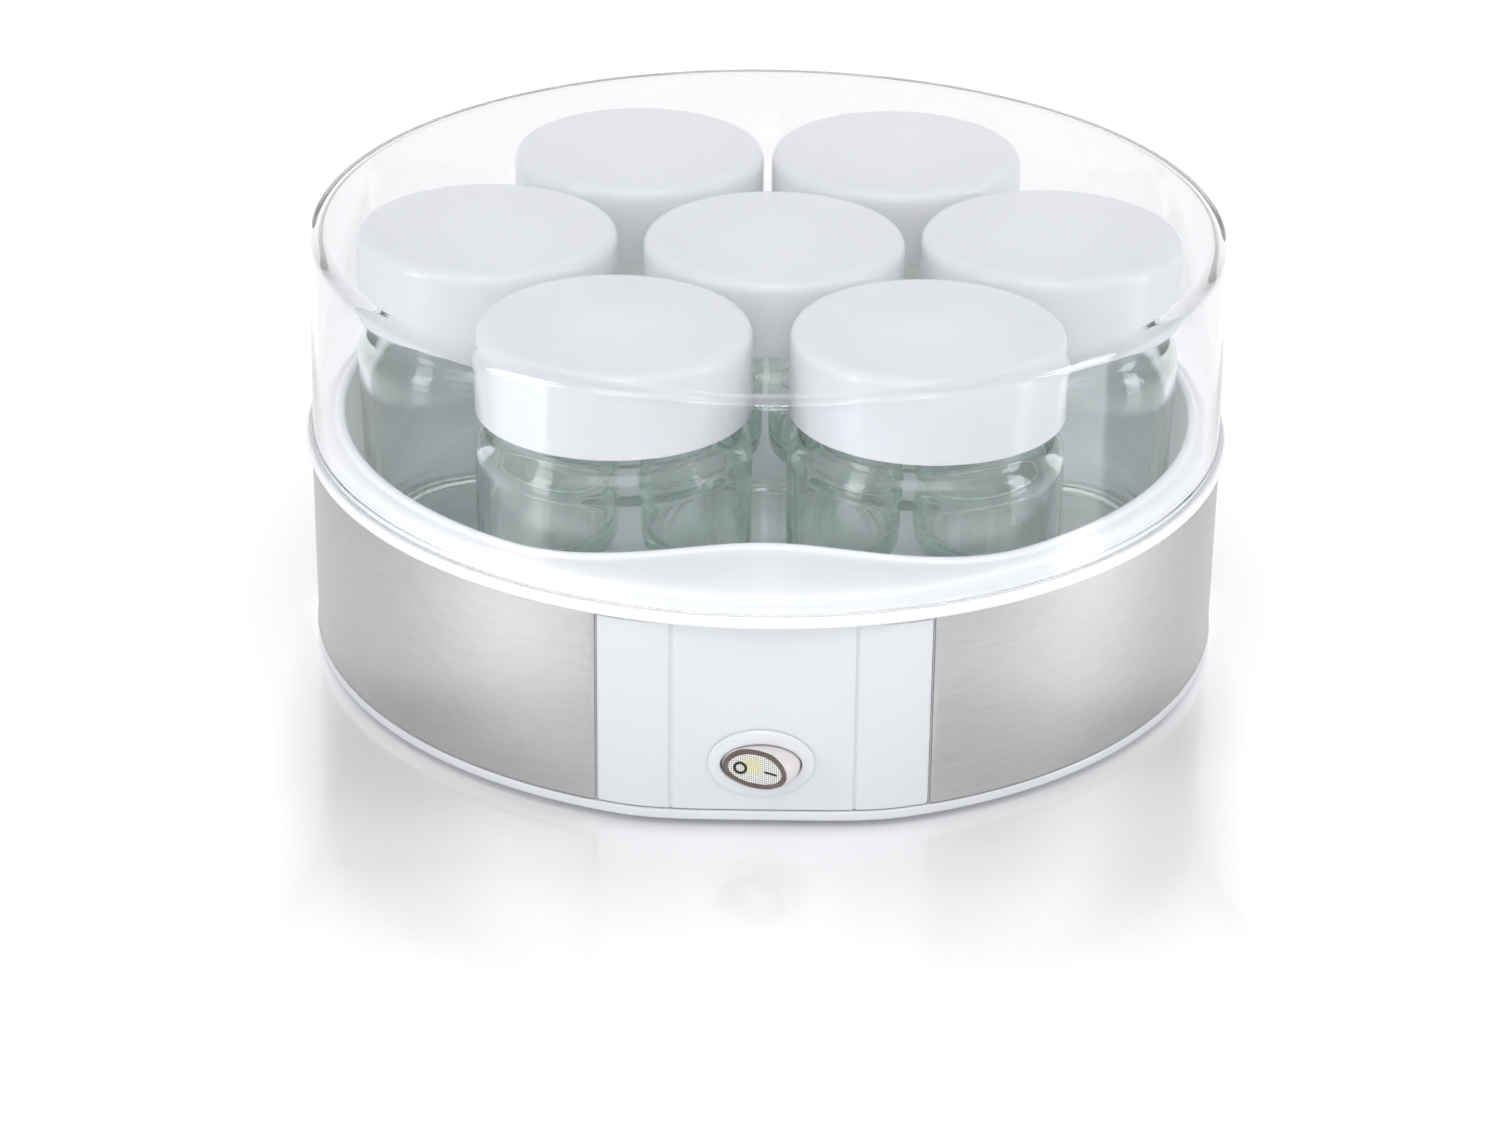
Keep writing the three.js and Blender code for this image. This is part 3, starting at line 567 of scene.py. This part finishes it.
def build_front_panel():
    """The front panel, with a soft groove at each side of the flat and rounded lower corners."""
    low, high = millimetres("front_panel")[0].z, millimetres("front_panel")[1].z
    inner = BAND_RADIUS - 1.6
    profile = eased([
        (BAND_RADIUS, low, 0.45, 1), (BAND_RADIUS, high, 0.3, 1),
        (inner, high, 0.2), (inner, low, 0.2),
    ], steps=4, closed=True)
    end = math.asin(PANEL_HALF_WIDTH / BAND_RADIUS)
    groove_half, groove_depth, corner, end_fall = 0.55, 0.55, 1.0, 0.35

    def warp(p, bearing, step):
        r, z = with_flat(p, bearing)
        off = abs(abs(r * math.sin(bearing)) - GROOVE_X)
        if p.z > 0.5:
            r -= groove_depth * max(0.0, 1 - (off / groove_half) ** 2)
        to_end = (end - abs(bearing)) * BAND_RADIUS
        if to_end < corner:
            lift = corner - math.sqrt(max(0.0, corner**2 - (corner - to_end) ** 2))
            z = max(z, low + lift)
            r -= end_fall * (1 - to_end / corner) ** 2 if p.z > 0.5 else 0.0
        return r, z

    groove = math.atan(GROOVE_X / flat_distance(BAND_RADIUS))
    half = [groove * k / 24 for k in range(24)]
    half += [groove + groove_half * (k / 5 - 1) / flat_distance(BAND_RADIUS) for k in range(11)]
    half += [groove + (end - groove) * k / 24 for k in range(1, 23)]
    half += [end - corner / BAND_RADIUS * (1 - k / 6) ** 1.6 for k in range(7)]
    half = sorted({round(b, 6) for b in half})
    bearings = [-b for b in reversed(half[1:])] + half
    bm = revolve(profile, bearings, warp, closed_turn=False, ring=True)
    piece = finished("front_panel_fine", bm, "base", MATERIALS["white_plastic"],
                     ["front_panel"])
    cut_hole(piece, *PANEL_HOLE, FRONT_WALL, (PIVOT.x, PIVOT.z))
    return piece


def build_foot(name):
    """A rubber foot: a dished pad on a stem with a barbed head."""
    low, high = millimetres(name)
    middle = (low + high) / 2
    profile = eased([
        (0, 0.5), (4.6, 0.5, 0.3), (5.2, 0, 0.3), (7.4, 0, 0.5), (8, 0.8, 0.4), (8, 2.3, 0.2),
        (2.6, 2.3), (2.6, 4.9), (3.6, 4.9, 0.2), (2.2, high.z, 0.3), (0, high.z),
    ], steps=3)
    bm = revolve(profile, full_turn(48), middle=(middle.x, middle.y))
    return finished(name + "_fine", bm, "base", MATERIALS["grey_rubber"], [name])


def build_cord_gland():
    """The empty gland at the back, with a ribbed nose."""
    bore, start, nose = 3.3, BAND_RADIUS + 0.4, millimetres("cord_gland")[1].y
    profile = eased([
        (bore, 113.3, 0.3), (6.4, 113.3, 0.3), (6.4, 114.5, 0.2), (4.9, 114.5),
        (4.9, start), (7.0, start, 0.3), (6.9, start + 1.4, 0.5), (5.6, start + 1.9, 0.3),
        (5.6, start + 2.5, 0.2), (5.0, start + 2.7, 0.2), (5.0, start + 3.4, 0.2), (5.3, start + 3.6, 0.2),
        (4.8, nose - 0.5, 0.3), (4.3, nose, 0.3), (bore, nose, 0.3),
    ], steps=3, closed=True)
    bm = revolve(profile, full_turn(48), ring=True)
    bm.transform(Matrix.Translation((0, 0, GLAND_HEIGHT)) @ Matrix.Rotation(math.radians(-90), 4, "X"))
    return finished("cord_gland_fine", bm, "base", MATERIALS["grey_rubber"], ["cord_gland"])


# ---------------------------------------------------------------- switch


def build_bezel():
    """The oval bezel: a low dome from the panel (1 across the profile) to the opening's edge (0)."""
    inner, outer = Vector((9.85, 5.6)), Vector((12.9, 9.1))
    face = -flat_distance(BAND_RADIUS)
    profile = eased([
        (1.0, face - 0.2, 0.1), (1.0, face - 0.75, 0.3), (0.62, face - 1.3, 0.5), (0.12, face - 1.5, 0.3),
        (0.0, face - 1.2, 0.2), (0.0, face + 2.1, 0.1), (0.3, face + 2.1, 0.1), (0.3, face - 0.2, 0.1),
    ], steps=4, closed=True)
    bm = bmesh.new()
    columns = []
    for i in range(MEDIUM):
        t = 2 * math.pi * i / MEDIUM
        column = []
        for p in profile:
            half = inner.lerp(outer, p.x)
            x = PIVOT.x + half.x * math.cos(t)
            z = PIVOT.z + half.y * math.sin(t)
            column.append(bm.verts.new((x, p.y, z)))
        columns.append(column)
    for i in range(MEDIUM):
        here, there = columns[i], columns[(i + 1) % MEDIUM]
        for j in range(len(profile)):
            k = (j + 1) % len(profile)
            bm.faces.new((here[j], there[j], there[k], here[k]))
    return finished("switch_bezel_fine", bm, "base", MATERIALS["white_plastic"],
                    ["switch_bezel"])


def rocker_matrix():
    """From the rocker's own axes, with its pivot at the origin, to its place at rest."""
    return Matrix.Translation(PIVOT) @ Matrix.Rotation(ROCKER_REST, 4, "Z")


ROCKER_RADIUS, ROCKER_HALF_HEIGHT, ROCKER_FACE, ROCKER_DISH = 9.6, 5.25, 5.0, 1.3
DISH_RADIUS = ((ROCKER_RADIUS**2 - ROCKER_FACE**2) + ROCKER_DISH**2) / (2 * ROCKER_DISH)


def dish(x):
    """How far in front of the pivot the dished face is, at a place across it."""
    return ROCKER_FACE - ROCKER_DISH + DISH_RADIUS - math.sqrt(DISH_RADIUS**2 - x * x)


def build_rocker():
    """The rocker: ovals whose ends keep to a circle about the pivot, and a dark bevelled rim."""
    rim_width, recess = 1.3, ROCKER_FACE - ROCKER_DISH - 1.1
    levels = [-3.2, -2.2, -1.0, 0.2, 1.4, 2.6, 3.6]
    layers = []
    for ahead in levels:
        half = math.sqrt(ROCKER_RADIUS**2 - ahead**2)
        layers.append([(x, -ahead, z) for x, z in oval(half, ROCKER_HALF_HEIGHT, MEDIUM)])
    chord = math.sqrt(ROCKER_RADIUS**2 - ROCKER_FACE**2)
    rim = [(0.0, 0.55), (0.12, 0.2), (0.35, 0.02), (0.6, 0.0), (rim_width, 0.1)]  # inset, depth
    for inset, sink in rim:
        edge = oval(chord - inset, ROCKER_HALF_HEIGHT - inset, MEDIUM)
        layers.append([(x, sink - dish(x), z) for x, z in edge])
    inset = rim_width + 0.1
    layers.append([(x, -recess, z) for x, z in oval(chord - inset, ROCKER_HALF_HEIGHT - inset, MEDIUM)])
    bm = bmesh.new()
    rows = [[bm.verts.new(p) for p in layer] for layer in layers]
    for j in range(len(rows) - 1):
        for i in range(MEDIUM):
            k = (i + 1) % MEDIUM
            face = bm.faces.new((rows[j][i], rows[j][k], rows[j + 1][k], rows[j + 1][i]))
            face.material_index = 1 if j >= len(levels) else 0
    bm.faces.new(list(reversed(rows[0])))
    bm.faces.new(rows[-1])
    bm.transform(rocker_matrix())
    materials = [MATERIALS["smoked_plastic"], ROCKER_RIM]
    return finished("rocker_fine", bm, "rocker", materials, ["rocker"])


def face_patch(name, outline, lift, thickness, material, replaces=()):
    """A thin plate that lies on the rocker's dished face, over an outline of (x, z) points in rings."""
    bm = bmesh.new()
    loops = []
    for depth in (lift, lift - thickness):
        loops.append([[bm.verts.new((x, -(dish(x) + depth), z)) for x, z in ring] for ring in outline])
    for side, rings in enumerate(loops):
        for a, b in zip(rings, rings[1:]):
            for i in range(len(a)):
                k = (i + 1) % len(a)
                quad = (a[i], a[k], b[k], b[i])
                bm.faces.new(quad if side == 0 else tuple(reversed(quad)))
    for ring in (0, -1):
        top, bottom = loops[0][ring], loops[1][ring]
        for i in range(len(top)):
            k = (i + 1) % len(top)
            bm.faces.new((top[i], top[k], bottom[k], bottom[i]))
    bm.transform(rocker_matrix())
    return finished(name, bm, "rocker", material, replaces)


def oval_rings(half_width, half_height, cuts, hole, centre=(0.0, 0.0)):
    """Ovals one inside the other. hole is the innermost one's share of the outermost."""
    shares = [1 - (1 - hole) * k / cuts for k in range(cuts + 1)]
    return [oval(half_width * share, half_height * share, 48, centre) for share in shares]


def build_rocker_face():
    """The insert with its dots, and the marks for off and on."""
    face_patch("rocker_diffuser_fine", oval_rings(6.85, 3.92, 12, hole=0.002), -0.12, 0.7,
               MATERIALS["diffuser_plastic"], ["rocker_diffuser"])
    mark_lift, mark_thickness = -0.02, 0.2
    ring = oval_rings(1.7, 1.7, 3, hole=0.62, centre=(-3.9, -0.2))
    face_patch("off_mark", ring, mark_lift, mark_thickness, MARK_BLACK)
    corners = ((-1, -1), (1, -1), (1, 1), (-1, 1))
    dash = [[(3.9 + 1.65 * a * k, -0.35 + 0.24 * b * k) for a, b in corners] for k in (1.0, 0.05)]
    face_patch("on_mark", dash, mark_lift, mark_thickness, MARK_BLACK)


# ---------------------------------------------------------------- cover, jars and lids


def build_cover():
    """The clear cover: a flat top, a rounded shoulder, a slightly drafted wall and a thicker foot."""
    foot_top = COVER_LOW + 3.5
    profile = eased([
        (0, COVER_TOP - 2.0),
        (115.1, COVER_TOP - 2.0, 2.4),
        (116.4, foot_top, 0.4),
        (116.6, COVER_LOW, 0.3),
        (118.5, COVER_LOW, 0.35),
        (118.5, COVER_LOW + 1.9, 0.35),
        (118.2, COVER_LOW + 2.2, 0.2),
        (117.35, COVER_TOP, 3.6),
        (0, COVER_TOP),
    ], steps=7)
    bm = revolve(profile, full_turn(CLEAR))
    return finished("cover_fine", bm, "cover", MATERIALS["clear_plastic"], ["cover"])


def build_jar(place):
    """A glass jar: rounded shoulder, beaded mouth, thick base with a ring of grip marks under it."""
    low, high = millimetres("jar_" + place)
    middle, bottom, top = (low + high) / 2, low.z, high.z
    body = (high.x - low.x) / 2
    inner = body - 2.3
    profile = eased([
        (0, bottom + 0.9),
        (24.0, bottom + 0.6, 1.0),
        (26.4, bottom + 0.15, 0.4, 0.0),
        (27.2, bottom + 0.1, 0.0, 1.0),
        (28.0, bottom + 0.1, 0.0, 1.0),
        (28.8, bottom + 0.1, 0.3, 0.0),
        (body - 0.4, bottom, 3.2),
        (body, bottom + 8.0, 2.0),
        (body, bottom + 57.2, 3.0),
        (30.0, bottom + 61.2, 2.0),
        (30.0, top - 4.0, 0.6),
        (31.6, top - 3.2, 0.6),
        (31.6, top, 1.4),
        (28.0, top, 0.9),
        (28.0, bottom + 60.4, 2.4),
        (inner - 0.4, bottom + 54.6, 3.0),
        (inner, bottom + 4.8, 4.2),
        (0, bottom + 4.2),
    ], steps=5)

    def warp(p, bearing, step):
        return p.x, p.y + 0.35 * p.z * (step % 2)

    bm = revolve(profile, full_turn(120), warp, middle=(middle.x, middle.y))
    node = "jar_" + place
    return finished(node + "_fine", bm, node, MATERIALS["jar_glass"], [node])


def build_lid(place):
    """A push-on lid: flat top, rounded edge, thin skirt, and a sealing ring inside."""
    node = "jar_lid_" + place
    low, high = millimetres(node)
    middle, bottom, top = (low + high) / 2, low.z, high.z
    outer = (high.x - low.x) / 2
    inner = outer - 1.6
    ceiling = top - 1.8
    profile = eased([
        (0, ceiling),
        (26.2, ceiling, 0.2),
        (26.4, ceiling - 2.6, 0.3),
        (27.4, ceiling - 2.6, 0.3),
        (27.6, ceiling, 0.2),
        (inner - 0.3, ceiling, 0.8),
        (inner, bottom, 0.3),
        (outer, bottom, 0.35),
        (outer, top, 3.9),
        (0, top),
    ], steps=8)
    bm = revolve(profile, full_turn(MEDIUM), middle=(middle.x, middle.y))
    return finished(node + "_fine", bm, "lid_" + place, MATERIALS["lid_plastic"], [node])


# ---------------------------------------------------------------- CAD nodes that stay


def dress_cad_nodes():
    """Every CAD node gets a finish. Those that no piece replaces keep their CAD shape."""
    slots = {s["node"]: s["material_slot"] for s in frame["record"]["subparts"]}
    for name, node in frame["nodes"].items():
        node.data.materials.clear()
        node.data.materials.append(MATERIALS[slots[name]])
        smoothed(node.data, math.radians(30))


# ---------------------------------------------------------------- studio

WORLD_BASE = 0.42  # how bright the studio is in every direction
WORLD_LOBES = [  # direction, how narrow, how much brighter or darker
    ((0.0, 0.0, 1.0), 2.0, 0.36),
    ((0.0, -1.0, 0.0), 2.0, 0.28),
    ((0.0, 1.0, 0.0), 2.0, 0.66),
    ((-0.83, 0.56, 0.0), 4.0, -0.50),
    ((0.83, 0.56, 0.0), 4.0, -0.50),
]
LEFT_BOX, RIGHT_BOX = 5.4, 6.2
FRONT_BOX, TOP_BOX = 1.8, 6.0
SPARKLE = 1.6
STRIP = 5.5  # for the pale line that it makes in the cover's rounded edge
FLOOR_GLOW, FLOOR_GLOW_ASIDE = 0.05, 0.30  # in front of the base, and everywhere else
GLASS_BOUNCES = 64


def build_world():
    """A pale studio all round, brighter towards a few directions."""
    world = bpy.data.worlds.new("studio")
    bpy.context.scene.world = world
    world.use_nodes = True
    tree = world.node_tree
    direction = tree.nodes.new("ShaderNodeTexCoord").outputs["Generated"]
    total = None
    for towards, narrow, strength in WORLD_LOBES:
        dot = tree.nodes.new("ShaderNodeVectorMath")
        dot.operation = "DOT_PRODUCT"
        tree.links.new(direction, dot.inputs[0])
        dot.inputs[1].default_value = towards
        facing = tree.nodes.new("ShaderNodeMath")
        facing.operation = "MAXIMUM"
        tree.links.new(dot.outputs["Value"], facing.inputs[0])
        facing.inputs[1].default_value = 0.0
        power = tree.nodes.new("ShaderNodeMath")
        power.operation = "POWER"
        tree.links.new(facing.outputs[0], power.inputs[0])
        power.inputs[1].default_value = narrow
        sum_up = tree.nodes.new("ShaderNodeMath")
        sum_up.operation = "MULTIPLY_ADD"
        tree.links.new(power.outputs[0], sum_up.inputs[0])
        sum_up.inputs[1].default_value = strength
        if total:
            tree.links.new(total, sum_up.inputs[2])
        else:
            sum_up.inputs[2].default_value = WORLD_BASE
        total = sum_up.outputs[0]
    tree.links.new(total, tree.nodes["Background"].inputs["Color"])


def build_floor():
    """A pale glossy table. It glows less in front of the base, where its mirror image shows."""
    bm = bmesh.new()
    bmesh.ops.create_grid(bm, x_segments=8, y_segments=8, size=6.0)
    mesh = bpy.data.meshes.new("floor")
    bm.to_mesh(mesh)
    bm.free()
    floor = bpy.data.objects.new("floor", mesh)
    bpy.context.scene.collection.objects.link(floor)
    n = Nodes("floor")
    n.set(ior=2.1, emission=(1.0, 1.0, 1.0, 1.0))
    grain = n.noise(40.0)
    n.colour_from(n.mix(grain, (0.80, 0.805, 0.815, 1.0), (0.82, 0.825, 0.83, 1.0)))
    n.roughness_from(n.ramp(grain, 0.13, 0.15, 0.3, 0.7))
    split = n.add("ShaderNodeSeparateXYZ")
    n.link(n.place(), split.inputs[0])
    beside = n.ramp(n.math("ABSOLUTE", split.outputs["X"]), 0.0, 1.0, 0.105, 0.125)
    behind = n.ramp(split.outputs["Y"], 0.0, 1.0, -0.06, 0.0)
    ahead = n.ramp(split.outputs["Y"], 1.0, 0.0, -0.21, -0.135)
    aside = n.math("MAXIMUM", n.math("MAXIMUM", beside, behind), ahead)
    glow = n.ramp(aside, FLOOR_GLOW, FLOOR_GLOW_ASIDE, 0.0, 1.0)
    n.link(glow, n.shader.inputs["Emission Strength"])
    mesh.materials.append(n.material)


def soft_light(name, place, target, size, power, seen=True):
    """A soft box. seen says whether glossy surfaces mirror it."""
    data = bpy.data.lights.new(name, "AREA")
    data.shape = "RECTANGLE"
    data.size, data.size_y = size
    data.energy = power
    light = bpy.data.objects.new(name, data)
    bpy.context.scene.collection.objects.link(light)
    light.location = place
    light.rotation_mode = "QUATERNION"
    light.rotation_quaternion = (Vector(target) - Vector(place)).to_track_quat("-Z", "Y")
    light.visible_camera = False
    light.visible_glossy = seen
    return light


def build_lights():
    """Soft boxes at both sides, in front and overhead, and a small one for the glints on the lids."""
    soft_light("left_box", (-1.26, -0.73, 0.55), (0, 0, 0.04), (0.40, 0.9), LEFT_BOX)
    soft_light("right_box", (1.43, -0.25, 0.55), (0, 0, 0.04), (0.40, 0.9), RIGHT_BOX)
    soft_light("front_box", (0.0, -1.45, 0.65), (0, 0, 0.05), (2.0, 0.6), FRONT_BOX, seen=False)
    soft_light("top_box", (0.0, -1.0, 1.6), (0, 0, 0.08), (1.0, 0.8), TOP_BOX, seen=False)
    strip = soft_light("strip", (0.0, -1.0, 1.6), (0, 0, 0.1), (2.4, 0.45), STRIP)
    strip.visible_diffuse = False
    soft_light("sparkle", (0.02, -1.25, 0.62), (0, 0, 0.09), (0.16, 0.06), SPARKLE)


LENS = 95.97
CAMERA_TARGET = Vector((-3.75, 0.0, 15.13)) * MM
CAMERA_ELEVATION = math.radians(25.967)
CAMERA_ROLL = math.radians(0.7127)
CAMERA_DISTANCE = 1.06778


def build_camera():
    """The viewpoint: a long lens, 26 degrees above the table, straight in front."""
    data = bpy.data.cameras.new("camera")
    data.sensor_width = 36.0
    data.lens = LENS
    camera = bpy.data.objects.new("camera", data)
    bpy.context.scene.collection.objects.link(camera)
    back = Vector((0, -math.cos(CAMERA_ELEVATION), math.sin(CAMERA_ELEVATION)))
    camera.location = CAMERA_TARGET + back * CAMERA_DISTANCE
    level = (-back).to_track_quat("-Z", "Y")
    camera.rotation_mode = "QUATERNION"
    camera.rotation_quaternion = level @ Matrix.Rotation(CAMERA_ROLL, 3, "Z").to_quaternion()
    data.clip_start, data.clip_end = 0.05, 50.0
    bpy.context.scene.camera = camera


def settle_renderer():
    """Colours as they are, and enough bounces for light that zigzags inside glass."""
    scene = bpy.context.scene
    scene.view_settings.view_transform = "Standard"
    cycles = scene.cycles
    cycles.max_bounces = GLASS_BOUNCES
    cycles.transmission_bounces = GLASS_BOUNCES
    cycles.glossy_bounces = GLASS_BOUNCES
    cycles.transparent_max_bounces = GLASS_BOUNCES
    cycles.diffuse_bounces = 5
    cycles.caustics_reflective = False


def build_everything():
    build_camera()
    dress_cad_nodes()
    build_upper_housing()
    build_outer_housing()
    build_steel_band()
    build_front_panel()
    build_cord_gland()
    for k in range(1, 5):
        build_foot("foot_%d" % k)
    build_bezel()
    build_rocker()
    build_rocker_face()
    build_cover()
    for place in JARS:
        build_jar(place)
        build_lid(place)
    build_world()
    build_floor()
    build_lights()
    settle_renderer()


build_everything()
